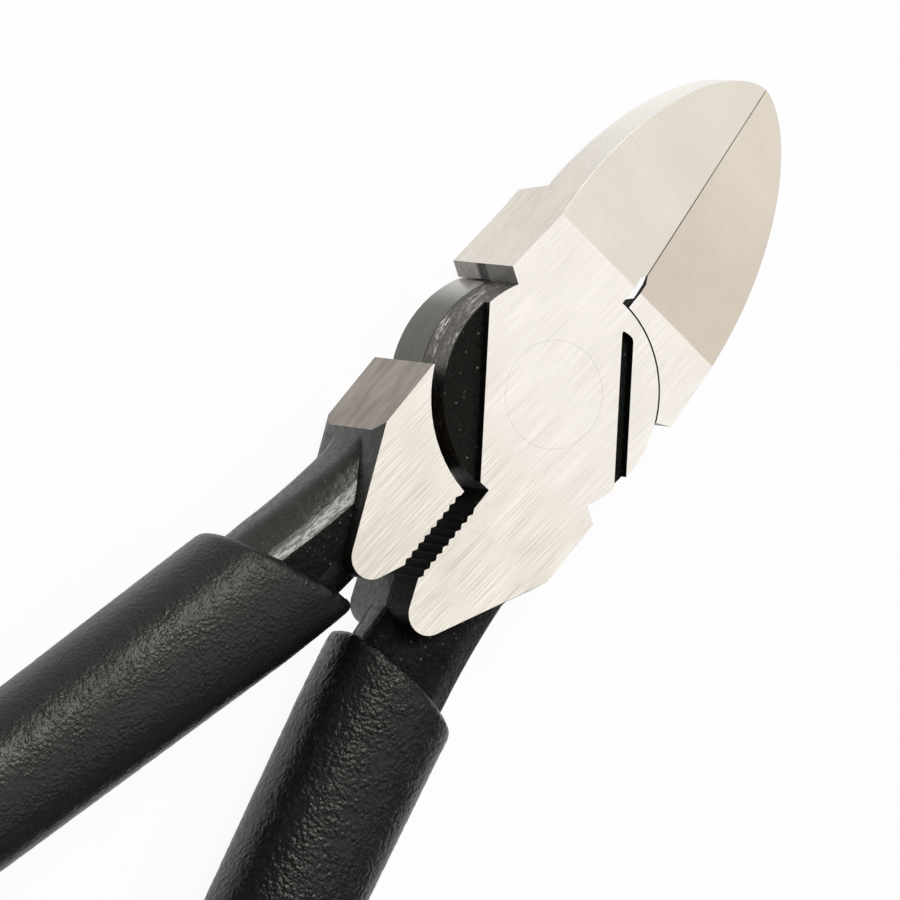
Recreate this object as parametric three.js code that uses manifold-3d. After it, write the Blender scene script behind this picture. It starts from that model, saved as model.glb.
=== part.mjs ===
// Lap-jointed side cutter for plastics, closed and lying on its back face, in millimetres.
// The pivot axis is Z through x = y = 0, the jaws point along +Y, the back face lies on z = 0 and the
// front face looks along +Z. The front half carries the left jaw and the right handle, the back half
// the right jaw and the left handle.
import * as THREE from 'three';
import { mergeVertices } from 'three/addons/utils/BufferGeometryUtils.js';
import Module from 'manifold-3d';

const wasm = await Module();
wasm.setup();

// Overall
const OVERALL_LENGTH = 160;
const HEAD_THICKNESS = 11;
const HEAD_HALF_WIDTH = 10.2;

// Pivot rivet: countersunk at both ends and ground flush
const RIVET_SHANK_RADIUS = 3.6;
const RIVET_HEAD_FLARE = 0.9;
const RIVET_HEAD_LAND = 0.4;
const RIVET_HEAD_DEPTH = 1.6;
const RIVET_CLEARANCE = 0.08;

// Lap joint: a half-thickness disc on each half
const DISC_RADIUS = 9.9;
const LAP_CLEARANCE = 0.15;
const LAP_GAP = 0.1;
const TANG_CLEARANCE = 1.6;
const SHOULDER_ANGLE = 27.5;
const TANG_ANGLE = 28.5;

// Relief in the outer face of each disc: one side left lower, on the front disc also a slot on the other
const STRIP_ANGLE = 39.5;
const FLAT_DISTANCE = 6.45;
const SLOT_DISTANCE = 6.15;
const SLOT_WIDTH = 1.1;
const SLOT_END_MARGIN = 1.55;
const SLOT_END_SLANT = 32;
const SLOT_ROUNDING = 0.4;
const RELIEF_DEPTH = 0.9;

// Jaws: sloping flush face in front, bevelled to the cutting edge behind
const CREASE_MARGIN = 1.6;
const JAW_LENGTH = 22.4;
const SHOULDER_TAPER = 0.5;
const JAW_FRONT_DROP = 5.5;
const JAW_ROUNDING = 1.2;
const EDGE_GAP = 0.1;
const EDGE_LAND = 0.3;
const BEVEL_ANGLE = 45;
const THROAT_HALF_WIDTH = 0.36;
const THROAT_RISE = 1.65;
const THROAT_TAPER = 0.7;

// Back of the jaws, stepped down from the joint
const BACK_STEP_HEIGHT = 4.4;
const BACK_STEP_LEAN = 9.6;
const BACK_STEP_RISE = 2.3;
const BACK_CHEVRON_ANGLE = 26.6;
const BACK_TIP_HEIGHT = 2;

// Tangs with gripping teeth between them
const TANG_SIDE_LENGTH = 6.4;
const TOOTH_GAP = 1.7;
const TOOTH_MARGIN = 0.4;
const TOOTH_COUNT = 9;
const TOOTH_PITCH = 0.85;
const TOOTH_DEPTH = 0.25;
const BOSS_END_X = 3.6;
const BOSS_END_DROP = 1.5;
const BOSS_END_RADIUS = 1.9;
const BOSS_FLARE = 1;
const BOSS_LEAN = 17;

// Handle cores: eight-sided bars from the tangs to the handle ends
const NECK_HALF_WIDTH = 4.4;
const WAIST_DISTANCE = 3.5;
const WAIST_HALF_WIDTH = 4;
const BEND_DISTANCE = 9.2;
const CORE_HALF_WIDTH = 4.85;
const CORE_HALF_THICKNESS = 3.9;
const CORE_END_HALF_WIDTH = 3.5;
const CORE_END_HALF_THICKNESS = 3;
const CORE_CHAMFER_WIDTH = 2.8;
const CORE_CHAMFER_HEIGHT = 2.2;
const NECK_CHAMFER_HEIGHT = 1;
const CORE_EDGE_ROUNDING = 1;
const HANDLE_SPREAD = 14.4;
const HANDLE_TUCK = 6;
const STRAIGHT_LENGTH = 40;

// Sleeves over the handle cores
const SLEEVE_FIT = 0.1;
const SLEEVE_WALL = 1.5;
const SLEEVE_END_WALL = 3;
const SLEEVE_END_ROUNDING = 5;
const SLEEVE_SQUARENESS = 2.4;
const MOUTH_DISTANCE = 14;
const FRONT_MOUTH_SLANT = 14;
const BACK_MOUTH_SLANT = 26;
const MOUTH_LIP = 0.6;

// Facets
const ROUND_SIDES = 72;
const SLEEVE_SIDES = 40;
const JAW_STEPS = 36;
const BEND_STEPS = 6;
const BOW_STEPS = 12;
const CORNER_STEPS = 3;
const LIP_STEPS = 3;
const END_STEPS = 5;

const { degToRad: rad, lerp } = THREE.MathUtils;
const point = (x, y) => new THREE.Vector2(x, y);
const polar = (radius, degrees) => point(radius * Math.cos(rad(degrees)), radius * Math.sin(rad(degrees)));

// Levels and radii that several pieces share
const midHeight = HEAD_THICKNESS / 2;
const frontDiscBase = midHeight + LAP_GAP / 2;
const lapRadius = DISC_RADIUS + LAP_CLEARANCE;
const tangRadius = DISC_RADIUS + TANG_CLEARANCE;
const rivetHeadRadius = RIVET_SHANK_RADIUS + RIVET_HEAD_FLARE;
const rootRadius = (DISC_RADIUS + rivetHeadRadius) / 2;
const jawHalfWidth = HEAD_HALF_WIDTH - SHOULDER_TAPER;
const creaseY = lapRadius + CREASE_MARGIN;
const tipY = creaseY + JAW_LENGTH;
const handleEndY = tipY - OVERALL_LENGTH;
const jawSlope = JAW_FRONT_DROP / JAW_LENGTH;
const teethTopY = -tangRadius - TOOTH_MARGIN;
const teethEndY = teethTopY - TOOTH_COUNT * TOOTH_PITCH;
const tangSideTopY = -HEAD_HALF_WIDTH * Math.tan(rad(TANG_ANGLE));
const tangSideEndY = tangSideTopY - TANG_SIDE_LENGTH;
const neckX = HEAD_HALF_WIDTH - NECK_HALF_WIDTH;
const beyond = 2 * HEAD_THICKNESS;

// Solids from closed geometries, and geometries back from solids

function solid(geometry) {
  const bare = new THREE.BufferGeometry();
  bare.setAttribute('position', geometry.getAttribute('position').clone());
  if (geometry.index) bare.setIndex(geometry.index.clone());
  const merged = mergeVertices(bare, 1e-5);
  return new wasm.Manifold(new wasm.Mesh({
    numProp: 3,
    vertProperties: new Float32Array(merged.getAttribute('position').array),
    triVerts: new Uint32Array(merged.index.array),
  }));
}

function geometryOf(body) {
  const { vertProperties, triVerts } = body.getMesh();
  const geometry = new THREE.BufferGeometry();
  geometry.setAttribute('position', new THREE.BufferAttribute(vertProperties, 3));
  geometry.setIndex(new THREE.BufferAttribute(triVerts, 1));
  geometry.computeVertexNormals();
  return geometry;
}

// Upright prism over an outline, from one height to another
function prism(outline, bottom, top) {
  const shape = Array.isArray(outline) ? new THREE.Shape(outline) : outline;
  const geometry = new THREE.ExtrudeGeometry(shape, {
    depth: top - bottom,
    bevelEnabled: false,
    curveSegments: ROUND_SIDES / 4,
  });
  return solid(geometry.translate(0, 0, bottom));
}

// Upright round bar about the pivot axis
function round(radius, bottom, top) {
  const geometry = new THREE.CylinderGeometry(radius, radius, top - bottom, ROUND_SIDES);
  geometry.rotateX(Math.PI / 2);
  return solid(geometry.translate(0, 0, (bottom + top) / 2));
}

// Everything on the side of a plane that its normal points to, as far as the tool reaches
function halfSpace(origin, normal) {
  const size = 4 * OVERALL_LENGTH;
  const geometry = new THREE.BoxGeometry(size, size, size).translate(0, 0, size / 2);
  const turn = new THREE.Quaternion().setFromUnitVectors(
    new THREE.Vector3(0, 0, 1),
    normal.clone().normalize(),
  );
  return solid(geometry.applyQuaternion(turn).translate(origin.x, origin.y, origin.z));
}

// Skin through rings of points, closed with a flat cap at each end
function loft(rings) {
  const sides = rings[0].length;
  const positions = rings.flat().flatMap((p) => [p.x, p.y, p.z]);
  const index = [];
  for (let ring = 0; ring < rings.length - 1; ring += 1) {
    for (let side = 0; side < sides; side += 1) {
      const here = ring * sides + side;
      const next = ring * sides + (side + 1) % sides;
      index.push(here, next, next + sides);
      index.push(here, next + sides, here + sides);
    }
  }
  const last = (rings.length - 1) * sides;
  for (let side = 1; side < sides - 1; side += 1) {
    index.push(0, side + 1, side);
    index.push(last, last + side, last + side + 1);
  }
  const geometry = new THREE.BufferGeometry();
  geometry.setAttribute('position', new THREE.Float32BufferAttribute(positions, 3));
  geometry.setIndex(index);
  return solid(geometry);
}

// Half a turn about the tool's long axis, which swaps front and back and left and right
const halfTurn = new THREE.Matrix4()
  .makeTranslation(0, 0, HEAD_THICKNESS)
  .multiply(new THREE.Matrix4().makeRotationY(Math.PI));

function turnedOver(body) {
  return solid(geometryOf(body).applyMatrix4(halfTurn));
}

// Rivet, and with a clearance its bore
function rivet(clearance) {
  const shank = RIVET_SHANK_RADIUS + clearance;
  const head = rivetHeadRadius + clearance;
  const end = clearance > 0 ? beyond : 0;
  const profile = [
    point(0, -end),
    point(head, -end),
    point(head, RIVET_HEAD_LAND),
    point(shank, RIVET_HEAD_DEPTH),
    point(shank, HEAD_THICKNESS - RIVET_HEAD_DEPTH),
    point(head, HEAD_THICKNESS - RIVET_HEAD_LAND),
    point(head, HEAD_THICKNESS + end),
    point(0, HEAD_THICKNESS + end),
  ];
  return solid(new THREE.LatheGeometry(profile, ROUND_SIDES).rotateX(Math.PI / 2));
}

// Jaw and shoulder of one half: side -1 is the left jaw, side 1 the right one
function jaw(side) {
  const edge = EDGE_GAP / 2;
  const throatTop = creaseY + THROAT_RISE;
  const outline = [
    point(THROAT_HALF_WIDTH, rootRadius),
    point(THROAT_HALF_WIDTH, throatTop - THROAT_TAPER),
    point(edge, throatTop),
  ];
  for (let step = JAW_STEPS; step >= 0; step -= 1) {
    const turn = (step / JAW_STEPS) * Math.PI / 2;
    const width = (jawHalfWidth - edge) * Math.max(Math.cos(turn), 0) ** JAW_ROUNDING;
    outline.push(point(edge + width, creaseY + JAW_LENGTH * Math.sin(turn)));
  }
  outline.push(point(HEAD_HALF_WIDTH, HEAD_HALF_WIDTH * Math.tan(rad(SHOULDER_ANGLE))));
  outline.push(polar(rootRadius, SHOULDER_ANGLE));
  const block = prism(outline.map((p) => point(side * p.x, p.y)), 0, HEAD_THICKNESS);

  const recess = side < 0
    ? round(lapRadius, -beyond, frontDiscBase)
    : round(lapRadius, HEAD_THICKNESS - frontDiscBase, HEAD_THICKNESS + beyond);
  const overFront = halfSpace(
    new THREE.Vector3(0, creaseY, HEAD_THICKNESS),
    new THREE.Vector3(0, jawSlope, 1),
  );

  const chevron = Math.tan(rad(BACK_CHEVRON_ANGLE));
  const lean = Math.tan(rad(BACK_STEP_LEAN));
  const stepY = creaseY + BACK_STEP_RISE;
  const backSlope = (BACK_STEP_HEIGHT - BACK_TIP_HEIGHT) / (tipY - stepY);
  const pastStep = halfSpace(
    new THREE.Vector3(side * jawHalfWidth, stepY, 0),
    new THREE.Vector3(-side * chevron, 1, -lean),
  );
  const underBack = halfSpace(
    new THREE.Vector3(0, stepY, BACK_STEP_HEIGHT),
    new THREE.Vector3(0, -backSlope, -1),
  );
  const underBevel = halfSpace(
    new THREE.Vector3(side * edge, creaseY, HEAD_THICKNESS - EDGE_LAND),
    new THREE.Vector3(-side * Math.tan(rad(BEVEL_ANGLE)), -jawSlope, -1),
  );
  const behind = underBack.add(underBevel).intersect(pastStep);
  return block.subtract(recess).subtract(overFront).subtract(behind);
}

// Where a line from a point touches a circle: side 1 or -1 picks one of the two places
function touch(from, centre, radius, side) {
  const toCentre = centre.clone().sub(from);
  const spread = side * Math.acos(radius / toCentre.length());
  const direction = toCentre.clone().negate().angle() + spread;
  return centre.clone().add(point(Math.cos(direction), Math.sin(direction)).multiplyScalar(radius));
}

// Right tang with its teeth and its rounded boss, through the whole thickness. The boss's outer wall
// leans outwards below both faces.
function tang() {
  const inner = TOOTH_GAP / 2;
  const corner = point(HEAD_HALF_WIDTH, tangSideEndY);
  const lowCorner = point(HEAD_HALF_WIDTH, tangSideEndY - BOSS_FLARE);
  const toothEnd = point(inner, teethEndY);
  const bossCentre = point(BOSS_END_X, teethEndY - BOSS_END_DROP);
  const innerTouch = touch(toothEnd, bossCentre, BOSS_END_RADIUS, 1);
  const outerTouch = touch(lowCorner, bossCentre, BOSS_END_RADIUS, -1);

  const shape = new THREE.Shape();
  shape.moveTo(inner, -rootRadius);
  shape.lineTo(inner, teethTopY);
  for (let tooth = 0; tooth < TOOTH_COUNT; tooth += 1) {
    const top = teethTopY - tooth * TOOTH_PITCH;
    shape.lineTo(inner + TOOTH_DEPTH, top - TOOTH_PITCH / 2);
    shape.lineTo(inner, top - TOOTH_PITCH);
  }
  shape.lineTo(innerTouch.x, innerTouch.y);
  shape.absarc(
    bossCentre.x,
    bossCentre.y,
    BOSS_END_RADIUS,
    innerTouch.clone().sub(bossCentre).angle(),
    outerTouch.clone().sub(bossCentre).angle(),
    false,
  );
  shape.lineTo(lowCorner.x, lowCorner.y);
  shape.lineTo(HEAD_HALF_WIDTH, tangSideTopY);
  const shoulder = polar(rootRadius, -TANG_ANGLE);
  shape.lineTo(shoulder.x, shoulder.y);

  const wall = touch(corner, bossCentre, BOSS_END_RADIUS, -1).sub(corner);
  const rise = wall.length() * Math.tan(rad(BOSS_LEAN));
  const pastFront = halfSpace(
    new THREE.Vector3(corner.x, corner.y, HEAD_THICKNESS),
    new THREE.Vector3(-wall.y, wall.x, rise),
  );
  const pastBack = halfSpace(
    new THREE.Vector3(corner.x, corner.y, 0),
    new THREE.Vector3(-wall.y, wall.x, -rise),
  );
  return prism(shape, 0, HEAD_THICKNESS)
    .subtract(pastFront.add(pastBack))
    .subtract(round(tangRadius, -beyond, frontDiscBase));
}

// Right handle: its centre line, and the stations along it where sections are set

function handlePath() {
  const spread = rad(HANDLE_SPREAD);
  const tuck = rad(HANDLE_TUCK);
  const bend = point(neckX, tangSideEndY - BEND_DISTANCE);
  const along = point(Math.sin(spread), -Math.cos(spread));
  const gripTop = bend.clone().addScaledVector(along, BEND_DISTANCE);
  const bowTop = gripTop.clone().addScaledVector(along, STRAIGHT_LENGTH);
  const bowRadius = (bowTop.y - handleEndY) / (Math.sin(spread) + Math.sin(tuck));
  const bowCentre = bowTop.clone().sub(point(Math.cos(spread), Math.sin(spread)).multiplyScalar(bowRadius));
  const path = new THREE.Path();
  path.moveTo(neckX, tangSideEndY);
  path.quadraticCurveTo(bend.x, bend.y, gripTop.x, gripTop.y);
  path.lineTo(bowTop.x, bowTop.y);
  path.absarc(bowCentre.x, bowCentre.y, bowRadius, spread, -tuck, true);
  return path;
}

const path = handlePath();
const pathLength = path.getLength();
const [bendEnd, straightEnd] = path.getCurveLengths();

function even(from, to, steps) {
  return Array.from({ length: steps + 1 }, (_, step) => lerp(from, to, step / steps));
}

// Ring of section points [across, up] at a distance along the centre line, square to it or slanting
function ringAt(distance, section, slant = 0) {
  const centre = path.getPointAt(distance / pathLength);
  const along = path.getTangentAt(distance / pathLength);
  return section.map(([across, up]) => {
    const forward = across * Math.tan(rad(slant));
    return new THREE.Vector3(
      centre.x - along.y * across + along.x * forward,
      centre.y + along.x * across + along.y * forward,
      midHeight + up,
    );
  });
}

// Half width, half thickness and chamfer height of the core at a distance along it
function coreSize(distance) {
  const taper = Math.max(distance - MOUTH_DISTANCE, 0) / (pathLength - MOUTH_DISTANCE);
  const neck = Math.min(distance / MOUTH_DISTANCE, 1);
  const size = {
    width: lerp(CORE_HALF_WIDTH, CORE_END_HALF_WIDTH, taper),
    thickness: lerp(CORE_HALF_THICKNESS, CORE_END_HALF_THICKNESS, taper),
    chamfer: lerp(NECK_CHAMFER_HEIGHT, CORE_CHAMFER_HEIGHT, neck),
  };
  if (distance < WAIST_DISTANCE) {
    size.width = lerp(NECK_HALF_WIDTH, WAIST_HALF_WIDTH, distance / WAIST_DISTANCE);
  } else if (distance < MOUTH_DISTANCE) {
    const share = (distance - WAIST_DISTANCE) / (MOUTH_DISTANCE - WAIST_DISTANCE);
    size.width = lerp(WAIST_HALF_WIDTH, CORE_HALF_WIDTH, share);
  }
  return size;
}

// Section with its corners rounded off, each from no more than a third of its sides
function rounded(corners, reach) {
  return corners.flatMap((corner, index) => {
    const here = point(...corner);
    const [before, after] = [index - 1, index + 1].map((neighbour) => {
      const side = point(...corners.at(neighbour % corners.length)).sub(here);
      return side.setLength(Math.min(reach, side.length() / 3)).add(here);
    });
    const curve = new THREE.QuadraticBezierCurve(before, here, after);
    return curve.getPoints(CORNER_STEPS).map((p) => [p.x, p.y]);
  });
}

// Eight-sided section of the core, grown all round by a margin
function coreSection(distance, margin) {
  const { width, thickness, chamfer } = coreSize(distance);
  const across = width + margin;
  const up = thickness + margin;
  const flat = across - CORE_CHAMFER_WIDTH;
  const wall = up - chamfer;
  const corners = [
    [across, -wall], [across, wall], [flat, up], [-flat, up],
    [-across, wall], [-across, -wall], [-flat, -up], [flat, -up],
  ];
  return rounded(corners, CORE_EDGE_ROUNDING);
}

// Rounded-off square section of the sleeve over a wall, drawn in by a share at its end
function sleeveSection(distance, wall, share) {
  const { width, thickness } = coreSize(distance);
  const across = (width + SLEEVE_FIT + wall) * share;
  const up = (thickness + SLEEVE_FIT + wall) * share;
  return even(0, 2 * Math.PI, SLEEVE_SIDES).slice(0, -1).map((turn) => {
    const across1 = Math.abs(Math.cos(turn)) ** (2 / SLEEVE_SQUARENESS);
    const up1 = Math.abs(Math.sin(turn)) ** (2 / SLEEVE_SQUARENESS);
    return [across * across1 * Math.sign(Math.cos(turn)), up * up1 * Math.sign(Math.sin(turn))];
  });
}

const coreEnd = pathLength - SLEEVE_END_WALL;
const coreStations = [
  0,
  ...even(WAIST_DISTANCE, MOUTH_DISTANCE, BEND_STEPS),
  bendEnd,
  straightEnd,
  ...even(straightEnd, coreEnd, BOW_STEPS).slice(1),
];

function handleCore() {
  return loft(coreStations.map((distance) => ringAt(distance, coreSection(distance, 0))));
}

// Sleeve with a slanting mouth and a rounded lip, a bore that fits the core, and a rounded closed end
function sleeve(slant) {
  const body = even(0, Math.PI / 2, LIP_STEPS).map((turn) => {
    const wall = SLEEVE_WALL - MOUTH_LIP * (1 - Math.sin(turn));
    const distance = MOUTH_DISTANCE + MOUTH_LIP * (1 - Math.cos(turn));
    return ringAt(distance, sleeveSection(MOUTH_DISTANCE, wall, 1), slant);
  });
  const roundTop = pathLength - SLEEVE_END_ROUNDING;
  const gripStations = [bendEnd, straightEnd, ...even(straightEnd, roundTop, BOW_STEPS).slice(1)];
  gripStations.forEach((distance) => {
    body.push(ringAt(distance, sleeveSection(distance, SLEEVE_WALL, 1)));
  });
  const lastTurn = (END_STEPS / (END_STEPS + 1)) * Math.PI / 2;
  even(0, lastTurn, END_STEPS).slice(1).forEach((turn) => {
    const distance = roundTop + SLEEVE_END_ROUNDING * Math.sin(turn) / Math.sin(lastTurn);
    body.push(ringAt(distance, sleeveSection(distance, SLEEVE_WALL, Math.cos(turn))));
  });

  const boreStations = [...coreStations.slice(0, -1), coreEnd + SLEEVE_FIT];
  const bore = boreStations.map((distance) => ringAt(distance, coreSection(distance, SLEEVE_FIT)));
  return loft(body).subtract(loft(bore));
}

// Relief in the front face of the front disc, to one depth. Places on the disc are given across the
// ground strip and along it.
const reliefFloor = HEAD_THICKNESS - RELIEF_DEPTH;
const stripAcross = polar(1, STRIP_ANGLE);
const stripAlong = polar(1, STRIP_ANGLE - 90);

function onStrip(offset, run) {
  return stripAcross.clone().multiplyScalar(offset).addScaledVector(stripAlong, run);
}

function loweredSide() {
  const edge = onStrip(-FLAT_DISTANCE, 0);
  return round(lapRadius, reliefFloor, HEAD_THICKNESS + beyond).intersect(halfSpace(
    new THREE.Vector3(edge.x, edge.y, 0),
    new THREE.Vector3(-stripAcross.x, -stripAcross.y, 0),
  ));
}

// Slot with a slanting upper end, which runs out of the disc at its lower end
function slot() {
  const outer = SLOT_DISTANCE + SLOT_WIDTH;
  const innerTop = Math.sqrt((DISC_RADIUS - SLOT_END_MARGIN) ** 2 - SLOT_DISTANCE ** 2);
  const outerTop = innerTop - SLOT_WIDTH * Math.tan(rad(SLOT_END_SLANT));
  const runOut = Math.sqrt(lapRadius ** 2 - SLOT_DISTANCE ** 2) + SLOT_ROUNDING;
  const corners = [
    [SLOT_DISTANCE, -innerTop],
    [outer, -outerTop],
    [outer, runOut],
    [SLOT_DISTANCE, runOut],
  ];
  const outline = rounded(corners, SLOT_ROUNDING).map(([offset, run]) => onStrip(offset, run));
  return prism(outline, reliefFloor, HEAD_THICKNESS + beyond);
}

// Joint disc, tang and handle core of the front half; the back half has the same turned over, with no slot
function lowerHalf() {
  const disc = round(DISC_RADIUS, frontDiscBase, HEAD_THICKNESS);
  return disc.add(tang()).add(handleCore()).subtract(loweredSide());
}

// The five pieces

const steel = new THREE.MeshStandardMaterial({ color: 0xd8d2c8, roughness: 0.35, metalness: 1 });
const rivetSteel = new THREE.MeshStandardMaterial({ color: 0xe2ddd4, roughness: 0.3, metalness: 1 });
const plastic = new THREE.MeshStandardMaterial({ color: 0x161616, roughness: 0.6, metalness: 0 });

function piece(name, geometry, material) {
  const mesh = new THREE.Mesh(geometry, material);
  mesh.name = name;
  return mesh;
}

const bore = rivet(RIVET_CLEARANCE);
const lower = lowerHalf();
const frontHalf = lower.add(jaw(-1)).subtract(slot()).subtract(bore);
const backHalf = turnedOver(lower).add(jaw(1)).subtract(bore);
const frontSleeve = piece('front_handle_sleeve', geometryOf(sleeve(FRONT_MOUTH_SLANT)), plastic);
const backSleeve = piece('back_handle_sleeve', geometryOf(sleeve(BACK_MOUTH_SLANT)), plastic);
backSleeve.rotation.y = Math.PI;
backSleeve.position.z = HEAD_THICKNESS;

const cutter = new THREE.Group();
cutter.add(piece('front_half', geometryOf(frontHalf), steel));
cutter.add(piece('back_half', geometryOf(backHalf), steel));
cutter.add(piece('pivot_rivet', geometryOf(rivet(0)), rivetSteel));
cutter.add(frontSleeve);
cutter.add(backSleeve);

export default cutter;
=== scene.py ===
"""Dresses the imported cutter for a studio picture: ground steel, blackened forgings and grained sleeves."""

import math

import bmesh
import bpy
from mathutils import Matrix, Vector, noise
from mathutils.bvhtree import BVHTree


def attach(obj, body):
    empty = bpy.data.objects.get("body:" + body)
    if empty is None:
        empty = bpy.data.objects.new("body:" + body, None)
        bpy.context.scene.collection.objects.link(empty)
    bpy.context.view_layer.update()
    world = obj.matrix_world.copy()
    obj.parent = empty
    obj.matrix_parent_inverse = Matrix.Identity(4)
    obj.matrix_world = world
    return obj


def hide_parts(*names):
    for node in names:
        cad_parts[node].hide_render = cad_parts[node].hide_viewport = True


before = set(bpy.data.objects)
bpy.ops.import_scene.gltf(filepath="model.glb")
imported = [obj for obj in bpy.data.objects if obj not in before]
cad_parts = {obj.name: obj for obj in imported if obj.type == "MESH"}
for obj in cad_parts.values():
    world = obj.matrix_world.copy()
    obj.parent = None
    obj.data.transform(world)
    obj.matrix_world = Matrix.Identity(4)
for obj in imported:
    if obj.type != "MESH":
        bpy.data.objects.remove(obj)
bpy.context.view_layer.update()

# Lengths are millimetres in the shapes and the finishes, and metres for the camera, the floor and the lamps.
MM = 0.001

# Sizes of the cutter that tell its surfaces apart
HEAD_THICKNESS = 11.0
MID_HEIGHT = HEAD_THICKNESS / 2
DISC_RADIUS = 9.9
TANG_RADIUS = 11.5
BORE_RADIUS = 4.7
CREASE_Y = 11.65
TANG_END_Y = -13.0
SIDE_X = 9.4
EDGE_LINE_X = 0.12
THROAT_X = 0.6
THROAT_TOP_Y = 15.0
TEETH_X = 1.3
TEETH_TOP_Y = -11.0
BOSS_TOP_Y = -19.4
# Above this height, an inner boss wall that faces the other half takes painted shade.
BOSS_SHADE_HEIGHT = 6.6
JAW_BACK_Y = CREASE_Y - 2
JAW_BACK_RADIUS = DISC_RADIUS + 0.4
STOP_RADIUS = DISC_RADIUS + 0.2
STOP_X = 7.0
RELIEF_REACH = 0.95
ON_SURFACE = 0.12

# Limits for the part of a face's normal along one axis
LEVEL = 0.999
FACING = 0.9
UPRIGHT = 0.02

# Necks: how far their chamfers lean, in degrees, at the tangs and at the sleeve mouths
NECK_TOP_Y = -11.9
NECK_LENGTH = 14.0
NECK_CHAMFER = 19.6
MOUTH_CHAMFER = 38.2

# A neck's rounded edge leans between these shares of its chamfer, and its matt faces are at least this level
ROUNDING_START = 0.5
ROUNDING_END = 0.92
LEFT_MATT = math.cos(math.radians(9))
RIGHT_MATT = 0.1

# Rivet that fills its countersunk bore up to a hairline
RIVET_SHANK_RADIUS = 3.6
RIVET_HEAD_RADIUS = 4.5
RIVET_HEAD_LAND = 0.4
RIVET_HEAD_DEPTH = 1.6
RIVET_FILL = 0.075
RIVET_RIM = 0.01
RIVET_SIDES = 96

# Edges of the steel
EDGE_WIDTH = 0.10
EDGE_STEPS = 3
EDGE_PROFILE = 0.5
SHARP_ANGLE = math.radians(28)
FLAT_ANGLE = math.radians(0.3)
WELD_DISTANCE = 0.001

# Sleeves
SLEEVE_VOXEL = 0.50
COARSE_SMOOTHING = 2
FINE_SMOOTHING = 2
SMOOTHING_SHARE = 0.5
CLEAR_OF_SKIN = 0.05
GRAIN_CELL = 0.62
GRAIN_VALLEY = 0.4
WARP_CELL = 1.7
WARP_REACH = 0.5
GRAIN_SEED = 1

# Camera, floor and surroundings
LENS = 400
SENSOR = 36
FAR_CLIP = 100
CAMERA_PLACE = Vector((-0.31703, -0.22310, 0.75155))
CAMERA_RIGHT = Vector((0.65425, 0.60694, 0.45120))
CAMERA_UP = Vector((-0.65611, 0.75224, -0.06051))
CAMERA_BACK = Vector((-0.37614, -0.25645, 0.89037))
FLOOR_SIZE = 12.0
FLOOR_DROP = 0.00005
FLOOR_GLOW = 0.94
FLOOR_COLOUR = (0.95, 0.95, 0.95, 1)
WORLD_LIGHT = 0.2

# Most values of a cloud pattern and of a tone lie in these ranges.
CLOUD_RANGE = (0.3, 0.7)
TONE_RANGE = (0.1, 0.9)

# Stretches along the tool over which a finish changes: up to the strip, and from the crease to the tip
STRIP_REACH = (-16, 2)
TIP_REACH = (14, 31)

# Dark and light tones of ground steel
STRIP_TONES = ((0.80, 0.755, 0.70), (0.93, 0.885, 0.83))
TANG_TONES = ((0.65, 0.595, 0.52), (0.97, 0.915, 0.825))
WALL_TONES = ((0.66, 0.61, 0.54), (0.84, 0.785, 0.71))
TIP_TONES = ((0.93, 0.89, 0.83), (1.0, 0.97, 0.92))
BACK_TONES = ((0.66, 0.62, 0.56), (0.82, 0.78, 0.72))
DULL_TONES = ((0.26, 0.225, 0.195), (0.35, 0.305, 0.27))
# The land walls' dark tones are painted shade in the gap between the jaws.
SEAM_SHADE_TONES = ((0.05, 0.047, 0.043), (0.10, 0.095, 0.088))
SHINE_TONES = ((0.86, 0.83, 0.78), (0.97, 0.94, 0.89))

# Faint yellow in the gloss of all that is black
GLOSS_TINT = (1, 1, 0.93, 1)

# A Mix node's colour sockets go by number, because its other sockets have the same names.
MIX_LOW = 6
MIX_HIGH = 7
MIX_RESULT = 2


def even(length):
    """The same length in all three directions."""
    return (length, length, length)


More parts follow.
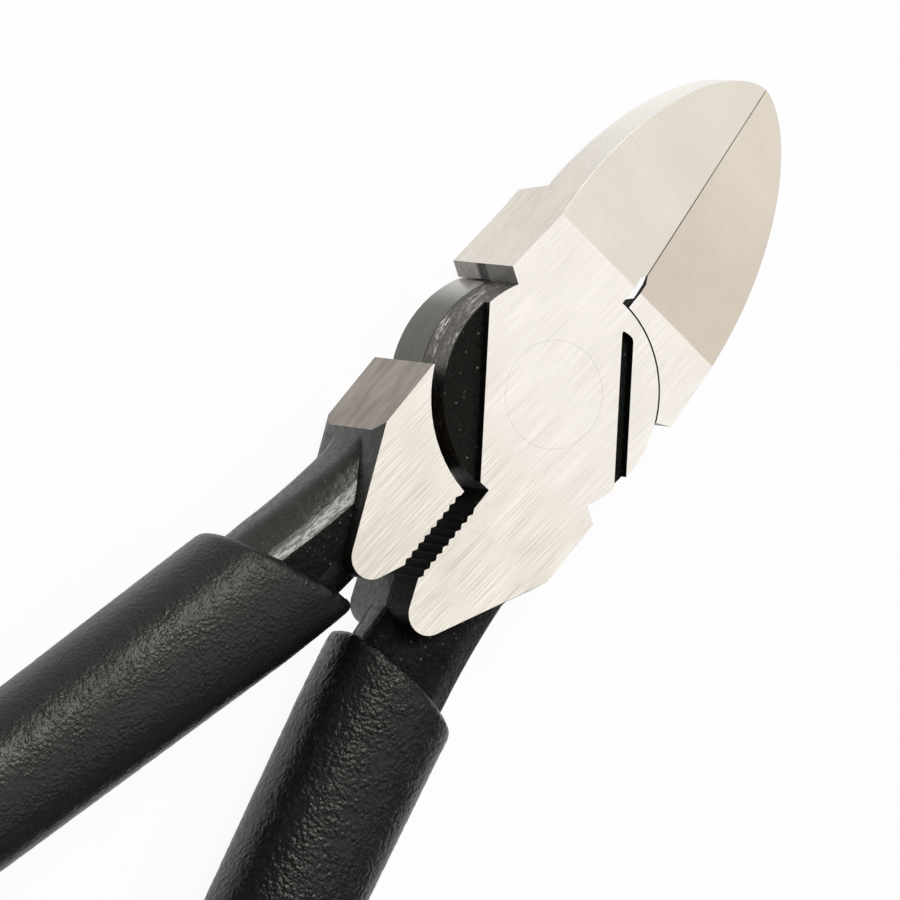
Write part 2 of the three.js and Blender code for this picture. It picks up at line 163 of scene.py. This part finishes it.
class Finish:
    """A node material while it is put together. Lengths in its patterns are millimetres on the piece."""

    def __init__(self, name):
        self.material = bpy.data.materials.new(name)
        self.material.use_nodes = True
        self.tree = self.material.node_tree
        self.shader = self.tree.nodes["Principled BSDF"]
        self.place = self.add("ShaderNodeTexCoord").outputs["Object"]

    def add(self, kind, **settings):
        node = self.tree.nodes.new(kind)
        for name, value in settings.items():
            setattr(node, name, value)
        return node

    def feed(self, socket, value):
        """Puts a number, a colour or another node's output on a socket."""
        if isinstance(value, bpy.types.NodeSocket):
            self.tree.links.new(value, socket)
        elif isinstance(value, tuple) and len(value) == 3 and socket.type == "RGBA":
            socket.default_value = (*value, 1)
        else:
            socket.default_value = value

    def stretched(self, size, turn=0):
        """The place on the piece, with a pattern's features about this long in each direction."""
        mapping = self.add("ShaderNodeMapping", vector_type="TEXTURE")
        self.feed(mapping.inputs["Vector"], self.place)
        mapping.inputs["Scale"].default_value = [length * MM for length in size]
        mapping.inputs["Rotation"].default_value = (0, 0, math.radians(turn))
        return mapping.outputs["Vector"]

    def clouds(self, size, turn=0, detail=3.0, roughness=0.55):
        """Cloudy pattern, turned by some degrees in the plane of the tool."""
        texture = self.add("ShaderNodeTexNoise")
        self.feed(texture.inputs["Vector"], self.stretched(size, turn))
        texture.inputs["Scale"].default_value = 1
        texture.inputs["Detail"].default_value = detail
        texture.inputs["Roughness"].default_value = roughness
        return texture.outputs["Fac"]

    def cells(self, length):
        """How far a point is from the nearest of scattered points, as a share of their spacing."""
        texture = self.add("ShaderNodeTexVoronoi")
        self.feed(texture.inputs["Vector"], self.stretched(even(length)))
        texture.inputs["Scale"].default_value = 1
        return texture.outputs["Distance"]

    def span(self, value, low, high, to_low=0.0, to_high=1.0):
        """Brings the range from low to high to another range, with soft ends."""
        mapping = self.add("ShaderNodeMapRange", interpolation_type="SMOOTHSTEP")
        self.feed(mapping.inputs["Value"], value)
        mapping.inputs["From Min"].default_value = low
        mapping.inputs["From Max"].default_value = high
        mapping.inputs["To Min"].default_value = to_low
        mapping.inputs["To Max"].default_value = to_high
        return mapping.outputs["Result"]

    def spread(self, clouds, to_low=0.0, to_high=1.0):
        """Brings most of a cloud pattern to another range."""
        return self.span(clouds, *CLOUD_RANGE, to_low, to_high)

    def combined(self, operation, first, second):
        node = self.add("ShaderNodeMath", operation=operation)
        self.feed(node.inputs[0], first)
        self.feed(node.inputs[1], second)
        return node.outputs["Value"]

    def plus(self, first, second):
        return self.combined("ADD", first, second)

    def minus(self, first, second):
        return self.combined("SUBTRACT", first, second)

    def times(self, first, second):
        return self.combined("MULTIPLY", first, second)

    def blend(self, share, low, high):
        """A colour between two others."""
        node = self.add("ShaderNodeMix", data_type="RGBA")
        self.feed(node.inputs["Factor"], share)
        self.feed(node.inputs[MIX_LOW], low)
        self.feed(node.inputs[MIX_HIGH], high)
        return node.outputs[MIX_RESULT]

    def along(self, axis):
        """How far along an axis of the tool a point is, in millimetres."""
        parts = self.add("ShaderNodeSeparateXYZ")
        self.feed(parts.inputs["Vector"], self.stretched(even(1)))
        return parts.outputs[axis]

    def relief(self, pattern, depth):
        """Roughens the surface with a pattern of this depth."""
        bump = self.add("ShaderNodeBump")
        bump.inputs["Strength"].default_value = 1
        bump.inputs["Distance"].default_value = depth * MM
        self.feed(bump.inputs["Height"], pattern)
        self.feed(self.shader.inputs["Normal"], bump.outputs["Normal"])

    def surface(self, colour, roughness, metallic, specular=0.5):
        """The finished material."""
        self.feed(self.shader.inputs["Base Color"], colour)
        self.feed(self.shader.inputs["Roughness"], roughness)
        self.shader.inputs["Metallic"].default_value = metallic
        self.shader.inputs["Specular IOR Level"].default_value = specular
        if metallic == 0:
            self.shader.inputs["Specular Tint"].default_value = GLOSS_TINT
        return self.material


def ground_steel(name, low, high, reach, line_size, turn, roughness, depth):
    """Ground and brushed steel: lines of one length and width, blotches, and a few deeper scratches.

    The lines run along the tool where turn is 0. The dark and light tones go from the low pair to the high
    pair over a stretch of the tool's length.
    """
    finish = Finish(name)
    length, width = line_size
    scratch_width = width * 2.2
    lines = finish.clouds((width, length, width), turn, detail=4, roughness=0.65)
    scratches = finish.clouds((scratch_width, length * 2, scratch_width), turn + 5, detail=2)
    blotches = finish.clouds((5, 9, 5), turn)
    scratched = finish.times(finish.span(scratches, 0.64, 0.74), 0.4)
    tone = finish.plus(finish.spread(lines, 0, 0.8), finish.spread(blotches, 0, 0.2))
    place = finish.span(finish.along("Y"), *reach)
    plain = finish.blend(place, finish.blend(tone, *low), finish.blend(tone, *high))
    finish.relief(finish.minus(lines, scratched), depth)
    gloss = finish.span(tone, *TONE_RANGE, roughness + 0.05, roughness - 0.05)
    return finish.surface(finish.blend(scratched, plain, low[0]), gloss, metallic=1)


def face_steel(name):
    """Ground steel of the front and back faces, with stronger lines towards the tangs."""
    return ground_steel(
        name, TANG_TONES, STRIP_TONES, STRIP_REACH, line_size=(6, 0.10), turn=-5, roughness=0.34, depth=0.004
    )


def jaw_steel():
    """Flush face of a jaw: finely ground across and smudged, the right jaw a little darker than the left."""
    left_tones = ((0.82, 0.765, 0.665), (0.90, 0.845, 0.745))
    crease_tones = ((0.71, 0.62, 0.515), (0.78, 0.685, 0.58))
    tip_tones = ((0.80, 0.725, 0.61), (0.875, 0.80, 0.69))
    scratch_tone = (0.60, 0.55, 0.48)
    finish = Finish("jaw_face")
    lines = finish.clouds((5, 0.10, 5), 2, detail=4, roughness=0.6)
    smudges = finish.clouds((5, 7, 5), 40)
    scratches = finish.span(finish.clouds((2.5, 0.12, 2.5), -4, detail=2), 0.66, 0.74)
    tone = finish.plus(finish.spread(lines, 0, 0.5), finish.spread(smudges, 0, 0.5))
    left = finish.blend(tone, *left_tones)
    near_tip = finish.span(finish.along("Y"), *TIP_REACH)
    right = finish.blend(near_tip, finish.blend(tone, *crease_tones), finish.blend(tone, *tip_tones))
    plain = finish.blend(finish.span(finish.along("X"), -0.1, 0.1), left, right)
    colour = finish.blend(finish.times(scratches, 0.35), plain, scratch_tone)
    finish.relief(lines, 0.003)
    return finish.surface(colour, finish.span(tone, *TONE_RANGE, 0.38, 0.30), metallic=1)


def scratched_wall():
    """Joint wall scored round its circumference as the halves turn, more in some patches than in others."""
    tones = ((0.10, 0.094, 0.086), (0.76, 0.71, 0.65))
    finish = Finish("lap_scratched")
    scores = finish.clouds((3.5, 3.5, 0.16), detail=4, roughness=0.7)
    pits = finish.clouds((0.5, 0.5, 0.35), detail=3)
    patches = finish.span(finish.clouds((2.4, 2.4, 3.0), detail=2), 0.46, 0.62, 0.3, 1)
    streaks = finish.times(finish.span(scores, 0.40, 0.62), patches)
    tone = finish.times(streaks, finish.span(pits, 0.35, 0.7))
    finish.relief(finish.plus(scores, pits), 0.02)
    gloss = finish.span(tone, 0, 1, 0.54, 0.32)
    return finish.surface(finish.blend(tone, *tones), gloss, metallic=1)


def smooth_wall():
    """Turned joint wall whose tone is a painted gradient of reflected light, dark as far up as the pivot and
    lighter above it.
    """
    shaded_tones = ((0.065, 0.063, 0.055), (0.13, 0.124, 0.11))
    lit_tones = ((0.42, 0.41, 0.375), (0.70, 0.68, 0.635))
    finish = Finish("lap_smooth")
    lines = finish.clouds((6, 6, 0.2), detail=3)
    smears = finish.clouds((3, 3, 2.5), detail=2)
    tone = finish.plus(finish.spread(lines, 0, 0.4), finish.spread(smears, 0, 0.6))
    # Painted reflected light: dark as far up as the pivot, lighter above it.
    lit_share = finish.span(finish.along("Y"), 0.5, 4.5)
    colour = finish.blend(lit_share, finish.blend(tone, *shaded_tones), finish.blend(tone, *lit_tones))
    finish.relief(lines, 0.006)
    return finish.surface(colour, finish.spread(smears, 0.24, 0.4), metallic=1)


def forged_black(name, specular, gloss, depth):
    """Blackened forging skin: fine pits, shallow hammer marks and specks where the black is rubbed off."""
    black_tones = ((0.004, 0.004, 0.003), (0.010, 0.009, 0.008))
    rubbed_tone = (0.22, 0.21, 0.20)
    finish = Finish(name)
    skin = finish.clouds(even(0.45), detail=4, roughness=0.6)
    marks = finish.clouds(even(2.6), detail=2)
    specks = finish.span(finish.cells(0.55), 0.26, 0.1)
    rubbed = finish.times(specks, finish.span(skin, 0.48, 0.6))
    black = finish.blend(finish.spread(marks), *black_tones)
    colour = finish.blend(finish.times(rubbed, 0.6), black, rubbed_tone)
    finish.relief(finish.plus(skin, finish.times(marks, 2.0)), depth)
    return finish.surface(colour, finish.spread(skin, *gloss), metallic=0, specular=specular)


def painted_sheen_edge():
    """Rounded edge of the forging: glossier black with slightly paler patches, a painted sheen along the
    edge.
    """
    tones = ((0.006, 0.006, 0.005), (0.024, 0.023, 0.021))
    finish = Finish("painted_sheen_edge")
    skin = finish.clouds((0.26, 0.9, 0.26), -10, detail=4, roughness=0.6)
    # Paler, glossier patches along the rounding: painted sheen.
    sheen_patches = finish.span(skin, 0.38, 0.56)
    finish.relief(skin, 0.03)
    gloss = finish.span(sheen_patches, 0, 1, 0.46, 0.29)
    return finish.surface(finish.blend(sheen_patches, *tones), gloss, metallic=0, specular=1.0)


def relief_black_and_painted_shade():
    """Black of the relief, the slot and the walls between the halves, with specks of grinding dust. On the
    throat's walls and the upper inner boss walls this black is painted shade.
    """
    black_tones = ((0.002, 0.0022, 0.0017), (0.011, 0.012, 0.009))
    dust_tone = (0.33, 0.33, 0.30)
    finish = Finish("relief_black_and_painted_shade")
    skin = finish.clouds(even(0.3), detail=4, roughness=0.65)
    specks = finish.span(finish.cells(0.75), 0.2, 0.08)
    dusty = finish.times(specks, finish.span(skin, 0.5, 0.6))
    black = finish.blend(finish.span(skin, 0.35, 0.65), *black_tones)
    colour = finish.blend(finish.times(dusty, 0.7), black, dust_tone)
    finish.relief(skin, 0.03)
    return finish.surface(colour, finish.spread(skin, 0.45, 0.7), metallic=0, specular=0.12)


def recess_edge():
    """Rough wall of the tang's recess, rusty in places."""
    tones = ((0.035, 0.030, 0.026), (0.15, 0.085, 0.06))
    finish = Finish("recess_edge")
    skin = finish.clouds((0.35, 0.35, 0.6), detail=4, roughness=0.7)
    rusty = finish.span(finish.clouds(even(1.2), detail=3), 0.42, 0.66)
    finish.relief(skin, 0.06)
    return finish.surface(finish.blend(rusty, *tones), finish.spread(skin, 0.35, 0.65), metallic=0.4)


def stop_face():
    """End face of a shoulder or tang: smooth low down, a band of painted shade half way up, rough above."""
    smooth_tone = (0.28, 0.26, 0.23)
    rough_tone = (0.095, 0.095, 0.08)
    mottle_tone = (0.22, 0.21, 0.19)
    shade_band_tone = (0.012, 0.012, 0.010)
    finish = Finish("stop_face")
    skin = finish.clouds(even(0.4), detail=4, roughness=0.7)
    height = finish.along("Z")
    rough = finish.span(height, 5.2, 6.4)
    # A band of painted shade half way up the face.
    shade_band = finish.times(finish.span(height, 3.9, 4.6), finish.span(height, 6.3, 5.6))
    metal = finish.blend(rough, smooth_tone, rough_tone)
    mottled = finish.blend(finish.span(skin, 0.35, 0.7), metal, mottle_tone)
    colour = finish.blend(shade_band, mottled, shade_band_tone)
    finish.relief(skin, 0.04)
    return finish.surface(colour, finish.spread(skin, 0.3, 0.55), metallic=0.8)


def grained_plastic(name, specular, gloss, pebble, depth):
    """Black moulded plastic with a fine uneven leather grain on the larger grain of the mesh."""
    tones = ((0.003, 0.003, 0.0026), (0.010, 0.010, 0.009))
    finish = Finish(name)
    large = finish.span(finish.cells(pebble), 0.75, 0.05)
    small = finish.span(finish.cells(pebble * 0.6), 0.75, 0.05, 0, 0.5)
    creases = finish.clouds(even(0.28), detail=3, roughness=0.6)
    patches = finish.clouds(even(1.6), detail=2)
    handling = finish.clouds((7, 14, 7), detail=2)
    domes = finish.times(finish.plus(large, small), finish.spread(patches, 0.4, 1))
    colour = finish.blend(finish.spread(creases), *tones)
    finish.relief(finish.plus(domes, creases), depth)
    return finish.surface(colour, finish.spread(handling, *gloss), metallic=0, specular=specular)


HALF_FINISHES = [
    face_steel("ground_face"),
    jaw_steel(),
    ground_steel(
        "ground_side", WALL_TONES, TIP_TONES, TIP_REACH,
        line_size=(8, 0.12), turn=3, roughness=0.36, depth=0.004,
    ),
    ground_steel(
        "jaw_back", BACK_TONES, BACK_TONES, TIP_REACH,
        line_size=(6, 0.12), turn=60, roughness=0.36, depth=0.004,
    ),
    ground_steel(
        "tang_side", DULL_TONES, DULL_TONES, TIP_REACH,
        line_size=(5, 1.4), turn=12, roughness=0.42, depth=0.006,
    ),
    ground_steel(
        "edge_bright", SHINE_TONES, SHINE_TONES, TIP_REACH,
        line_size=(1.5, 0.4), turn=0, roughness=0.6, depth=0.002,
    ),
    # Land walls between the jaws: painted shade, darkest at the throat end and lighter towards the tip.
    ground_steel(
        "edge_land", SEAM_SHADE_TONES, DULL_TONES, TIP_REACH,
        line_size=(5, 0.12), turn=0, roughness=0.4, depth=0.004,
    ),
    scratched_wall(),
    smooth_wall(),
    relief_black_and_painted_shade(),
    recess_edge(),
    stop_face(),
    forged_black("forged_black", specular=0.55, gloss=(0.28, 0.48), depth=0.055),
    forged_black("forged_face", specular=0.11, gloss=(0.30, 0.6), depth=0.22),
    painted_sheen_edge(),
]
FINISH_NAMES = [material.name for material in HALF_FINISHES]
JAW_FINISHES = {"jaw_face", "ground_side", "jaw_back"}
FORGED = {"forged_black", "forged_face", "painted_sheen_edge"}


def on_rounded_edge(centre, normal):
    """True on the rounding between a neck's broad face and its outer chamfer."""
    share = min((NECK_TOP_Y - centre.y) / NECK_LENGTH, 1)
    chamfer = NECK_CHAMFER + share * (MOUTH_CHAMFER - NECK_CHAMFER)
    tilt = math.degrees(math.acos(min(abs(normal.z), 1)))
    return normal.x * centre.x > 0 and ROUNDING_START * chamfer < tilt < ROUNDING_END * chamfer


def on_matt_neck(centre, normal):
    """True where the black is matt: on the right neck but for its walls, and near level on the left one."""
    return abs(normal.z) > (RIGHT_MATT if centre.x > 0 else LEFT_MATT)


def on_boss_wall(centre, normal):
    """True on the wall of a boss that looks at the other half, below the teeth."""
    return abs(normal.z) < UPRIGHT and centre.y < BOSS_TOP_Y and normal.x * centre.x < 0


def wall_finish(centre, normal, radius):
    """Finish of an upright face at the seam, round the disc, or on the outer side of the head, or None."""
    aside = abs(centre.x)
    # Painted shade: the throat's walls, in the narrow gap between the jaws, take the relief's black.
    if aside < THROAT_X and BORE_RADIUS < centre.y < THROAT_TOP_Y:
        return "relief_black_and_painted_shade"
    # Land walls where the jaws meet take painted shade.
    if aside < EDGE_LINE_X and centre.y > THROAT_TOP_Y:
        return "edge_land"
    if aside < TEETH_X and centre.y < TEETH_TOP_Y:
        return "relief_black_and_painted_shade"
    if abs(radius - DISC_RADIUS) < ON_SURFACE:
        return "lap_scratched" if centre.z > MID_HEIGHT else "lap_smooth"
    if aside > EDGE_LINE_X and centre.y > CREASE_Y and normal.x * centre.x > 0:
        return "ground_side"
    if aside > SIDE_X and abs(normal.x) > FACING:
        if centre.y > 0:
            return "ground_side"
        return "tang_side" if centre.y > TANG_END_Y else "forged_black"
    return None


def neck_finish(centre, normal):
    """Finish of a face below the tangs."""
    # Painted shade: the upper part of a boss wall that faces the other half takes the relief's black.
    if on_boss_wall(centre, normal) and centre.z > BOSS_SHADE_HEIGHT:
        return "relief_black_and_painted_shade"
    if on_matt_neck(centre, normal):
        return "forged_face"
    # The outer rounded edge of a neck takes the painted sheen.
    return "painted_sheen_edge" if on_rounded_edge(centre, normal) else "forged_black"


def joint_finish(centre, upright, radius, depth):
    """Finish of a face about the joint that is neither ground nor part of the disc's wall."""
    if BORE_RADIUS < radius < DISC_RADIUS - ON_SURFACE and depth < RELIEF_REACH:
        return "relief_black_and_painted_shade"
    if upright and abs(radius - TANG_RADIUS) < ON_SURFACE:
        return "recess_edge"
    if upright and radius > STOP_RADIUS and abs(centre.x) > STOP_X:
        return "stop_face"
    return "forged_black" if centre.y < -DISC_RADIUS else "lap_smooth"


def finish_of(centre, normal):
    """Name of the finish of one face of a half, from where it lies and which way it faces."""
    radius = math.hypot(centre.x, centre.y)
    depth = min(centre.z, HEAD_THICKNESS - centre.z)
    upright = abs(normal.z) < UPRIGHT
    if abs(normal.z) > LEVEL and depth < ON_SURFACE:
        return "ground_face"
    if centre.y > CREASE_Y and normal.z > FACING:
        return "jaw_face"
    wall = wall_finish(centre, normal, radius) if upright else None
    if wall:
        return wall
    if centre.y > JAW_BACK_Y and radius > JAW_BACK_RADIUS:
        return "jaw_back"
    if centre.y < TANG_END_Y:
        return neck_finish(centre, normal)
    return joint_finish(centre, upright, radius, depth)


def welded(node):
    """The node's surface in millimetres, as a closed mesh."""
    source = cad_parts[node].data
    shape = bmesh.new()
    corners = [shape.verts.new(vertex.co / MM) for vertex in source.vertices]
    for polygon in source.polygons:
        shape.faces.new([corners[index] for index in polygon.vertices])
    bmesh.ops.remove_doubles(shape, verts=shape.verts, dist=WELD_DISTANCE)
    shape.normal_update()
    return shape


def placed(shape, name):
    """A Blender object from a mesh in millimetres, which it uses up."""
    bmesh.ops.scale(shape, vec=even(MM), verts=shape.verts)
    mesh = bpy.data.meshes.new(name)
    shape.to_mesh(mesh)
    shape.free()
    piece = bpy.data.objects.new(name, mesh)
    bpy.context.scene.collection.objects.link(piece)
    return piece


def stand_for(piece, node, body):
    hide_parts(node)
    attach(piece, body)


def split_boss_walls(shape):
    """Cuts the inner boss walls at the height where their painted shade begins."""
    walls = [face for face in shape.faces if on_boss_wall(face.calc_center_median(), face.normal)]
    edges = {edge for face in walls for edge in face.edges}
    bmesh.ops.bisect_plane(
        shape,
        geom=walls + list(edges),
        plane_co=(0, 0, BOSS_SHADE_HEIGHT),
        plane_no=(0, 0, 1),
    )
    shape.normal_update()


def finishes_at(edge):
    return {FINISH_NAMES[face.material_index] for face in edge.link_faces}


def is_cutting_edge(edge):
    return all(abs(vertex.co.x) < EDGE_LINE_X and vertex.co.y > CREASE_Y for vertex in edge.verts)


def takes_rounding(edge):
    """True for a sharp outer edge between ground surfaces of a jaw. The cutting edges stay sharp."""
    if len(edge.link_faces) != 2 or not edge.is_convex or is_cutting_edge(edge):
        return False
    return edge.calc_face_angle() > SHARP_ANGLE and finishes_at(edge) <= JAW_FINISHES


def round_jaw_edges(shape):
    """Gives the outer edges of a jaw a narrow bright rounding."""
    bmesh.ops.bevel(
        shape,
        geom=[edge for edge in shape.edges if takes_rounding(edge)],
        offset=EDGE_WIDTH,
        offset_type="WIDTH",
        segments=EDGE_STEPS,
        profile=EDGE_PROFILE,
        affect="EDGES",
        clamp_overlap=False,
        material=FINISH_NAMES.index("edge_bright"),
    )
    shape.normal_update()


def shade(shape):
    """Shades smoothly, but keeps sharp edges and those between finishes that aren't both forged."""
    for face in shape.faces:
        face.smooth = True
    for edge in shape.edges:
        finishes = finishes_at(edge)
        alike = len(finishes) == 1 or finishes <= FORGED
        edge.smooth = alike and edge.calc_face_angle(0) < SHARP_ANGLE


def ground_half(name, node, body):
    """One forged half: each surface gets its finish, and the outer jaw edges a rounding."""
    shape = welded(node)
    bmesh.ops.dissolve_limit(shape, angle_limit=FLAT_ANGLE, verts=shape.verts, edges=shape.edges)
    shape.normal_update()
    split_boss_walls(shape)
    for face in shape.faces:
        finish = finish_of(face.calc_center_median(), face.normal)
        face.material_index = FINISH_NAMES.index(finish)
    round_jaw_edges(shape)
    shade(shape)
    piece = placed(shape, name)
    for material in HALF_FINISHES:
        piece.data.materials.append(material)
    stand_for(piece, node, body)


def rivet_profile():
    """Radius and height of the rivet's corners, from the middle of its back end to that of its front end."""
    head = RIVET_HEAD_RADIUS + RIVET_FILL
    shank = RIVET_SHANK_RADIUS + RIVET_FILL
    back = [
        (0, 0),
        (head - RIVET_RIM, 0),
        (head, RIVET_RIM),
        (head, RIVET_HEAD_LAND),
        (shank, RIVET_HEAD_DEPTH),
    ]
    front = [(radius, HEAD_THICKNESS - height) for radius, height in reversed(back)]
    return back + front


def rivet():
    """Countersunk rivet, turned from its profile, with a hairline round each ground end."""
    shape = bmesh.new()
    verts = [shape.verts.new((radius, 0, height)) for radius, height in rivet_profile()]
    edges = [shape.edges.new(pair) for pair in zip(verts, verts[1:])]
    bmesh.ops.spin(
        shape,
        geom=verts + edges,
        axis=(0, 0, 1),
        cent=(0, 0, 0),
        angle=math.tau,
        steps=RIVET_SIDES,
        use_merge=True,
    )
    bmesh.ops.remove_doubles(shape, verts=shape.verts, dist=WELD_DISTANCE)
    bmesh.ops.recalc_face_normals(shape, faces=shape.faces)
    shade(shape)
    piece = placed(shape, "rivet")
    piece.data.materials.append(face_steel("rivet_steel"))
    stand_for(piece, "pivot_rivet", "back_side")


def remesh(piece):
    """Makes the piece's mesh again from even small faces."""
    modifier = piece.modifiers.new("even", "REMESH")
    modifier.mode = "VOXEL"
    modifier.voxel_size = SLEEVE_VOXEL * MM
    seen = piece.evaluated_get(bpy.context.evaluated_depsgraph_get())
    mesh = bpy.data.meshes.new_from_object(seen)
    piece.modifiers.clear()
    piece.data = mesh


def smooth(shape, times):
    """Draws each point of a shape towards its neighbours, a number of times."""
    for _ in range(times):
        bmesh.ops.smooth_vert(
            shape,
            verts=shape.verts,
            factor=SMOOTHING_SHARE,
            use_axis_x=True,
            use_axis_y=True,
            use_axis_z=True,
        )
    shape.normal_update()


def divide_outside(shape):
    """Halves the faces that can be seen. Those inside the bore look at its other wall and stay large."""
    skin = BVHTree.FromBMesh(shape)
    seen = set()
    for face in shape.faces:
        start = face.calc_center_median() + face.normal * CLEAR_OF_SKIN * MM
        if skin.ray_cast(start, face.normal)[0] is None:
            seen.update(face.edges)
    bmesh.ops.subdivide_edges(shape, edges=list(seen), cuts=1, use_grid_fill=True)


def grain_at(place):
    """Height of the leather grain: cushions between narrow valleys, from 0 to 1."""
    warp = noise.noise_vector(place / WARP_CELL) * WARP_REACH
    nearest, second = noise.voronoi((place + warp) / GRAIN_CELL)[0][:2]
    return min((second - nearest) / GRAIN_VALLEY, 1)


def sink_grain(shape, depth):
    """Sinks the valleys of the leather grain into the skin."""
    moves = [vertex.normal * (grain_at(vertex.co / MM) - 1) * depth * MM for vertex in shape.verts]
    for vertex, move in zip(shape.verts, moves):
        vertex.co += move


def sleeve(name, node, body, plastic, grain_depth):
    """Handle sleeve with leather grain in its mesh."""
    piece = placed(welded(node), name)
    remesh(piece)
    shape = bmesh.new()
    shape.from_mesh(piece.data)
    smooth(shape, COARSE_SMOOTHING)
    divide_outside(shape)
    smooth(shape, FINE_SMOOTHING)
    sink_grain(shape, grain_depth)
    for face in shape.faces:
        face.smooth = True
    shape.to_mesh(piece.data)
    shape.free()
    piece.data.materials.append(plastic)
    stand_for(piece, node, body)


def softbox(name, direction, distance, size, radiance):
    """Square soft light that faces the joint. Its radiance is 1 where a mirror of it shows white."""
    lamp = bpy.data.lights.new(name, "AREA")
    lamp.shape = "SQUARE"
    lamp.size = size
    lamp.energy = math.pi * size * size * radiance
    towards = Vector(direction).normalized()
    light = bpy.data.objects.new(name, lamp)
    light.location = towards * distance
    light.rotation_euler = towards.to_track_quat("Z", "Y").to_euler()
    bpy.context.scene.collection.objects.link(light)


def seen_directly(tree):
    """1 for rays that come straight, mirrored or through glass, and 0 for the rays that only light things."""
    path = tree.nodes.new("ShaderNodeLightPath")
    total = path.outputs["Is Camera Ray"]
    for name in ("Is Glossy Ray", "Is Transmission Ray"):
        larger = tree.nodes.new("ShaderNodeMath")
        larger.operation = "MAXIMUM"
        tree.links.new(total, larger.inputs[0])
        tree.links.new(path.outputs[name], larger.inputs[1])
        total = larger.outputs["Value"]
    return total


def floor_paper():
    """Pale paper that shows almost white, and keeps a faint shadow."""
    material = bpy.data.materials.new("pale_floor")
    material.use_nodes = True
    tree = material.node_tree
    tree.nodes.clear()
    paper = tree.nodes.new("ShaderNodeBsdfDiffuse")
    paper.inputs["Color"].default_value = FLOOR_COLOUR
    glow = tree.nodes.new("ShaderNodeEmission")
    glow.inputs["Strength"].default_value = 1
    share = tree.nodes.new("ShaderNodeMath")
    share.operation = "MULTIPLY"
    tree.links.new(seen_directly(tree), share.inputs[0])
    share.inputs[1].default_value = FLOOR_GLOW
    mix = tree.nodes.new("ShaderNodeMixShader")
    tree.links.new(share.outputs["Value"], mix.inputs["Fac"])
    tree.links.new(paper.outputs["BSDF"], mix.inputs[1])
    tree.links.new(glow.outputs["Emission"], mix.inputs[2])
    output = tree.nodes.new("ShaderNodeOutputMaterial")
    tree.links.new(mix.outputs["Shader"], output.inputs["Surface"])
    return material


def floor():
    """Wide floor just under the tool."""
    shape = bmesh.new()
    bmesh.ops.create_grid(shape, x_segments=1, y_segments=1, size=FLOOR_SIZE / 2 / MM)
    bmesh.ops.translate(shape, vec=(0, 0, -FLOOR_DROP / MM), verts=shape.verts)
    piece = placed(shape, "floor")
    piece.data.materials.append(floor_paper())


def surroundings():
    """Dim even light from all round, past the lamps and the floor."""
    world = bpy.data.worlds.new("studio")
    bpy.context.scene.world = world
    world.use_nodes = True
    tree = world.node_tree
    tree.nodes.clear()
    dim = tree.nodes.new("ShaderNodeBackground")
    dim.inputs["Strength"].default_value = WORLD_LIGHT
    dim.inputs["Color"].default_value = (1, 1, 1, 1)
    output = tree.nodes.new("ShaderNodeOutputWorld")
    tree.links.new(dim.outputs["Background"], output.inputs["Surface"])


def camera():
    """Long lens at the photograph's view."""
    data = bpy.data.cameras.new("camera")
    data.lens = LENS
    data.sensor_width = SENSOR
    data.clip_end = FAR_CLIP
    eye = bpy.data.objects.new("camera", data)
    turn = Matrix((CAMERA_RIGHT, CAMERA_UP, CAMERA_BACK)).transposed()
    eye.matrix_world = Matrix.Translation(CAMERA_PLACE) @ turn.to_4x4()
    bpy.context.scene.collection.objects.link(eye)
    bpy.context.scene.camera = eye


camera()
surroundings()
floor()
softbox("overhead", direction=(0.36, 0.25, 0.90), distance=1.7, size=1.0, radiance=0.91)
softbox("rear", direction=(0.376, 0.66, 0.65), distance=1.7, size=1.0, radiance=0.66)
softbox("key", direction=(-0.27, 0.43, 0.86), distance=1.5, size=0.55, radiance=12.5)
softbox("left", direction=(-0.78, 0.56, 0.28), distance=1.5, size=1.0, radiance=0.9)
softbox("front", direction=(0.0, -0.84, 0.54), distance=1.7, size=1.2, radiance=0.45)
ground_half("front_forging", "front_half", "front_side")
ground_half("back_forging", "back_half", "back_side")
rivet()
front_plastic = grained_plastic("front_plastic", specular=0.34, gloss=(0.24, 0.34), pebble=0.50, depth=0.06)
back_plastic = grained_plastic("back_plastic", specular=0.43, gloss=(0.32, 0.40), pebble=0.40, depth=0.04)
noise.seed_set(GRAIN_SEED)
sleeve("front_sleeve", "front_handle_sleeve", "front_side", front_plastic, grain_depth=0.04)
sleeve("back_sleeve", "back_handle_sleeve", "back_side", back_plastic, grain_depth=0.022)
bpy.context.scene.view_settings.view_transform = "Standard"
